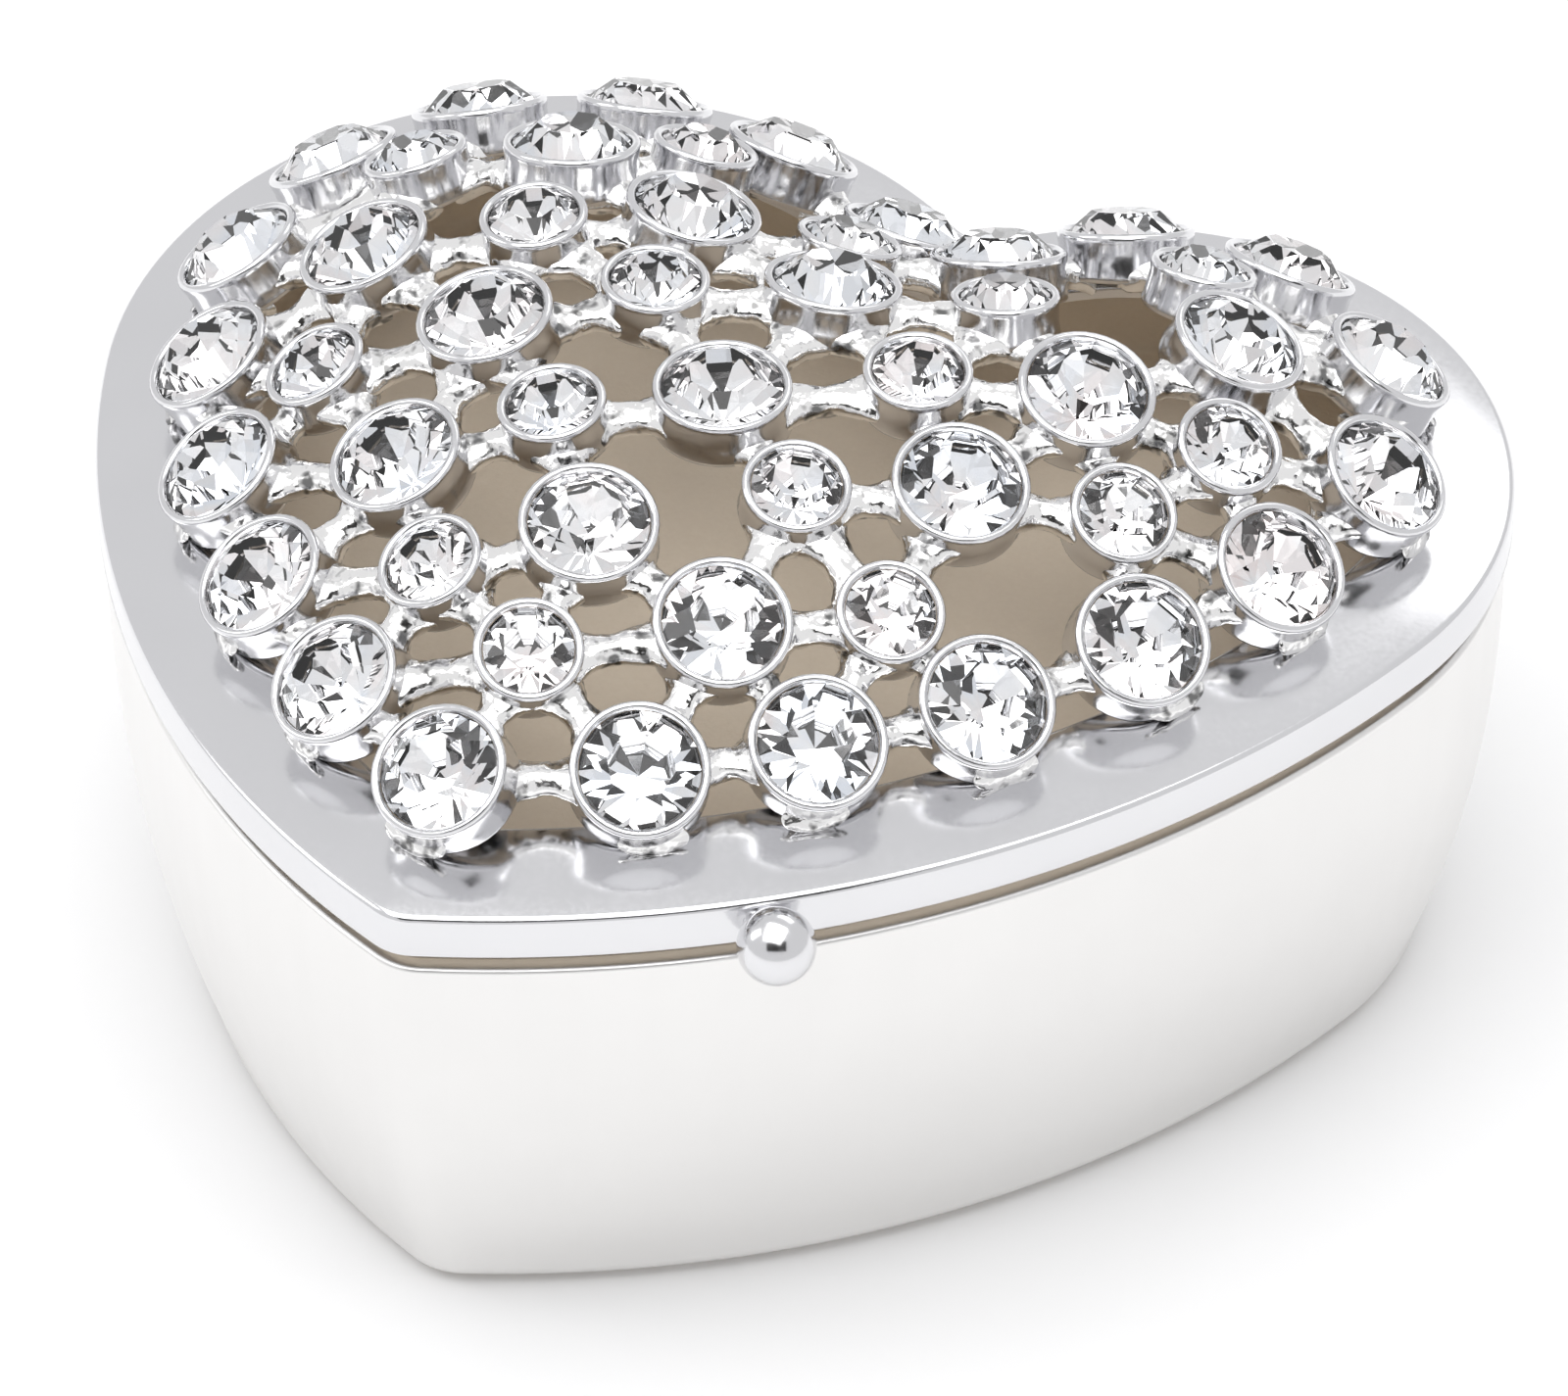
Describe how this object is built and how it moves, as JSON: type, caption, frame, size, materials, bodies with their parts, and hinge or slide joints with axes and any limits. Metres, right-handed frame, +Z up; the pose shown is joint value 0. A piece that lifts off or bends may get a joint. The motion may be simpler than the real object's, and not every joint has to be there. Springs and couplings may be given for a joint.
{
  "type": "wind up music box",
  "caption": "Heart-shaped wind-up music box with a hinged openwork lid set with cut stones, a lined tray and an eighteen-note movement wound by a key in the base.",
  "frame": {"origin": "centre of the closed box's outline on the surface it stands on", "axes": "+X to the right along the hinge line, +Y from the heart's tip to the hinges, +Z up"},
  "size_m": [0.1, 0.0912, 0.0571],
  "materials": {
    "polished_silver": "polished silver plate",
    "satin_silver": "satin silver plate, faintly streaked",
    "cast_silver": "silver-plated casting, bright with a fine grain",
    "crystal": "clear cut crystal with a foiled back",
    "flock": "beige flocked lining",
    "felt": "beige felt",
    "brass": "clean brass",
    "steel": "ground steel",
    "spring_steel": "blued spring steel",
    "zinc": "die-cast zinc"
  },
  "bodies": {
    "body": {"body_shell": "satin_silver", "base_felt": "felt", "base_plate": "zinc", "base_plate_screws": "steel", "lining_floor": "flock", "lining_wall": "flock", "body_hinge_leaves": "satin_silver", "hinge_pins": "steel", "movement_bedplate": "zinc", "movement_screws": "steel", "spring_housing": "brass", "mainspring": "spring_steel", "cylinder_bracket": "zinc", "governor_plates": "zinc", "comb": "steel", "comb_base": "zinc", "comb_screws": "brass", "stop_rod_guide": "brass"},
    "lid": {"lid_rim": "polished_silver", "lid_hinge_leaves": "polished_silver", "lid_setting_web": "cast_silver", "outer_row_stones": "crystal", "inner_large_stones": "crystal", "small_stones": "crystal", "lid_knob": "polished_silver"},
    "winder": {"winding_arbor": "steel", "winding_key": "brass", "crown_wheel": "brass"},
    "cylinder": {"cylinder_drum": "brass", "cylinder_pins": "steel", "cylinder_shaft": "steel", "cylinder_pinion": "brass", "cylinder_gear": "brass"},
    "governor": {"governor_shaft": "steel", "governor_pinion": "brass", "governor_wheel": "brass"},
    "fly": {"governor_screw": "steel", "fly_arbor": "steel", "governor_fly": "brass"},
    "stop": {"stop_rod": "steel"}
  },
  "joints": [
    {"name": "lid_hinge", "type": "hinge", "parent": "body", "child": "lid", "pos_m": [0, 0.0441, 0.0356], "axis": [-1, 0, 0], "range_deg": [0, 100]},
    {"name": "cylinder_spin", "type": "hinge", "parent": "body", "child": "cylinder", "pos_m": [0.007, 0.008, 0.0202], "axis": [1, 0, 0], "continuous": true},
    {"name": "key_turn", "type": "hinge", "parent": "body", "child": "winder", "pos_m": [-0.016, 0.008, 0.01], "axis": [0, 0, 1], "continuous": true},
    {"name": "governor_spin", "type": "hinge", "parent": "body", "child": "governor", "pos_m": [0.022, 0.00177, 0.0166], "axis": [1, 0, 0], "continuous": true},
    {"name": "fly_spin", "type": "hinge", "parent": "body", "child": "fly", "pos_m": [0.024, -0.00424, 0.018], "axis": [0, 0, 1], "continuous": true},
    {"name": "stop_slide", "type": "slide", "parent": "body", "child": "stop", "axis": [0, 0, 1], "range_m": [0, 0.0013]}
  ],
  "couplings": [
    {"joint": "key_turn", "follows": "cylinder_spin", "ratio": 0.3125},
    {"joint": "governor_spin", "follows": "cylinder_spin", "ratio": -3},
    {"joint": "fly_spin", "follows": "cylinder_spin", "ratio": -30},
    {"joint": "stop_slide", "follows": "lid_hinge", "m_per_rad": 0.00074}
  ]
}
